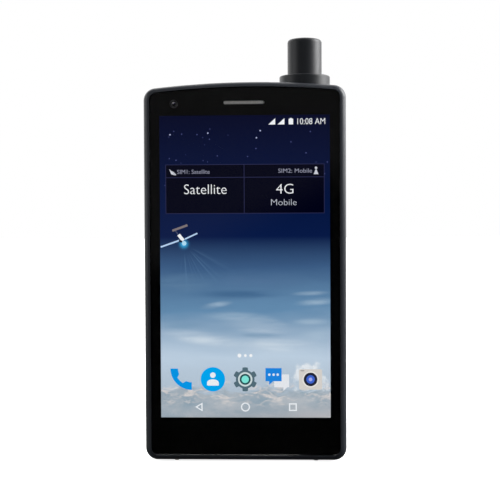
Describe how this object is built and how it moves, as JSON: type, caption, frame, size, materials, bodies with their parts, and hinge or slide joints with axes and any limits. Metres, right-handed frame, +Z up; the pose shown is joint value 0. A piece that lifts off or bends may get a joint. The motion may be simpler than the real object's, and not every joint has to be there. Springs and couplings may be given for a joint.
{
  "type": "satellite smartphone",
  "caption": "Rugged touchscreen satellite phone with a stub antenna that pulls out of its top, side keys, sealed socket flaps and a card tray.",
  "frame": {"origin": "under the middle of the upright phone, on the surface its two foot ribs stand on, with the stowed antenna", "axes": "+Z up along the phone towards the antenna, -Y out of the screen, +X to the right when facing the screen"},
  "size_m": [0.077, 0.024, 0.1631],
  "materials": {
    "frame_plastic": "fine satin grain",
    "rear_plastic": "matt spark-eroded grain",
    "antenna_plastic": "satin",
    "key_plastic": "satin",
    "sos_plastic": "satin",
    "flap_rubber": "soft matt elastomer",
    "seal_rubber": "matt",
    "cover_glass": "polished, strengthened",
    "print_film": "black print behind glass",
    "adhesive": "double-sided tape",
    "display": "display cell with backlight",
    "chassis_metal": "die-cast and machined",
    "steel": "stamped and plated",
    "screw_steel": "blackened",
    "circuit_board": "solder mask",
    "flex": "polyimide film",
    "battery_wrap": "wrapped pouch",
    "copper": "bare copper",
    "gold": "gold-plated",
    "ceramic": "sintered ceramic with silvered face",
    "module_plastic": "moulded",
    "coil_former": "moulded",
    "lens_glass": "coated",
    "flash_plastic": "faceted, clear",
    "bezel_metal": "turned and anodised",
    "mesh_metal": "woven wire",
    "foam": "open-cell foam",
    "card_plastic": "card with plated contacts"
  },
  "bodies": {
    "handset": {"front_frame": "frame_plastic", "rear_housing": "rear_plastic", "housing_gasket": "seal_rubber", "housing_screws": "screw_steel", "cover_glass": "cover_glass", "bezel_film": "print_film", "glass_adhesive": "adhesive", "display_panel": "display", "earpiece_mesh": "mesh_metal", "earpiece_receiver": "module_plastic", "front_camera": "module_plastic", "proximity_sensor": "module_plastic", "mid_frame": "chassis_metal", "main_board": "circuit_board", "processor_shield": "steel", "satellite_shield": "steel", "cellular_shield": "steel", "navigation_patch": "ceramic", "board_screws": "steel", "sim_connector": "steel", "jack_socket": "module_plastic", "usb_socket": "steel", "lower_board": "circuit_board", "board_link": "flex", "battery": "battery_wrap", "battery_pads": "adhesive", "battery_foam": "foam", "loudspeaker": "module_plastic", "speaker_mesh": "mesh_metal", "vibration_motor": "steel", "microphone": "steel", "cellular_antenna": "flex", "side_switches_left": "flex", "side_switches_right": "flex", "rear_camera": "module_plastic", "camera_bezel": "bezel_metal", "camera_window": "lens_glass", "flash_lens": "flash_plastic", "flash_led": "ceramic", "antenna_guide_tube": "module_plastic", "antenna_collar": "antenna_plastic", "antenna_wiper_seal": "seal_rubber", "antenna_feed_contacts": "gold", "antenna_coax": "module_plastic", "flap_hinge_pins": "steel", "volume_pin": "steel"},
    "antenna": {"antenna_radome": "antenna_plastic", "antenna_foot": "module_plastic", "antenna_contact_ring": "gold", "helix_core": "coil_former", "helix_arms": "copper"},
    "power_key": {"power_key": "key_plastic"},
    "camera_key": {"camera_key": "key_plastic"},
    "sos_key": {"sos_key": "sos_plastic"},
    "volume_rocker": {"volume_rocker": "key_plastic"},
    "usb_flap": {"usb_flap": "flap_rubber"},
    "jack_flap": {"jack_flap": "flap_rubber"},
    "sim_tray": {"sim_tray": "key_plastic", "sim_cards": "card_plastic", "tray_seal": "seal_rubber"}
  },
  "joints": [
    {"name": "antenna_slide", "type": "slide", "parent": "handset", "child": "antenna", "axis": [0, 0, 1], "range_m": [0, 0.06]},
    {"name": "power_key_press", "type": "slide", "parent": "handset", "child": "power_key", "axis": [-1, 0, 0], "range_m": [0, 0.00035], "stiffness_N_per_m": 2000},
    {"name": "camera_key_press", "type": "slide", "parent": "handset", "child": "camera_key", "axis": [-1, 0, 0], "range_m": [0, 0.00035], "stiffness_N_per_m": 2000},
    {"name": "sos_key_press", "type": "slide", "parent": "handset", "child": "sos_key", "axis": [1, 0, 0], "range_m": [0, 0.00035], "stiffness_N_per_m": 2000},
    {"name": "volume_rock", "type": "hinge", "parent": "handset", "child": "volume_rocker", "pos_m": [-0.0358, -0.0046, 0.107], "axis": [0, 1, 0], "range_deg": [-2, 2], "stiffness_Nm_per_rad": 0.3},
    {"name": "usb_flap_hinge", "type": "hinge", "parent": "handset", "child": "usb_flap", "pos_m": [0.0102, -0.005, 0.002], "axis": [0, -1, 0], "range_deg": [0, 90]},
    {"name": "jack_flap_hinge", "type": "hinge", "parent": "handset", "child": "jack_flap", "pos_m": [-0.0133, -0.005, 0.14321], "axis": [0, 1, 0], "range_deg": [0, 90]},
    {"name": "sim_tray_slide", "type": "slide", "parent": "handset", "child": "sim_tray", "axis": [-1, 0, 0], "range_m": [0, 0.026]}
  ]
}
